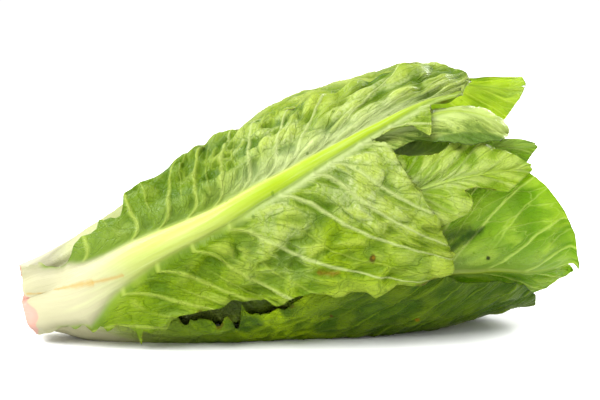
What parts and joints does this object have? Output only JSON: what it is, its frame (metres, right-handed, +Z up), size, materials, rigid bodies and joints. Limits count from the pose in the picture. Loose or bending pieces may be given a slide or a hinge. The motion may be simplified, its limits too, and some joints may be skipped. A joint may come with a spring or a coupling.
{
  "type": "romaine lettuce head",
  "caption": "Head of romaine lettuce lying on its side: a cut stem with long ribbed leaves wrapped round each other, tips loose.",
  "frame": {"origin": "middle of the bounding box's underside, on the surface the head lies on", "axes": "+X from the cut butt towards the leaf tips, +Z up, -Y the side with the broad front leaf"},
  "size_m": [0.2452, 0.118, 0.117],
  "materials": {
    "stem": "moist cut plant flesh",
    "outer_leaf": "waxy leaf, soft sheen",
    "inner_leaf": "waxy leaf, soft sheen",
    "heart_leaf": "pale waxy leaf, soft sheen"
  },
  "bodies": {
    "root": {"stem": "stem", "outer_leaf_top": "outer_leaf", "outer_leaf_front": "outer_leaf", "outer_leaf_under": "outer_leaf", "outer_leaf_back": "outer_leaf", "second_leaf_rolled": "inner_leaf", "second_leaf_front": "inner_leaf", "second_leaf_low": "inner_leaf", "second_leaf_top": "inner_leaf", "second_leaf_back": "inner_leaf", "third_leaf_front": "inner_leaf", "third_leaf_under": "inner_leaf", "heart_leaf_1": "heart_leaf", "heart_leaf_2": "heart_leaf", "heart_leaf_3": "heart_leaf", "heart_leaf_4": "heart_leaf", "heart_leaf_5": "heart_leaf"}
  },
  "joints": []
}
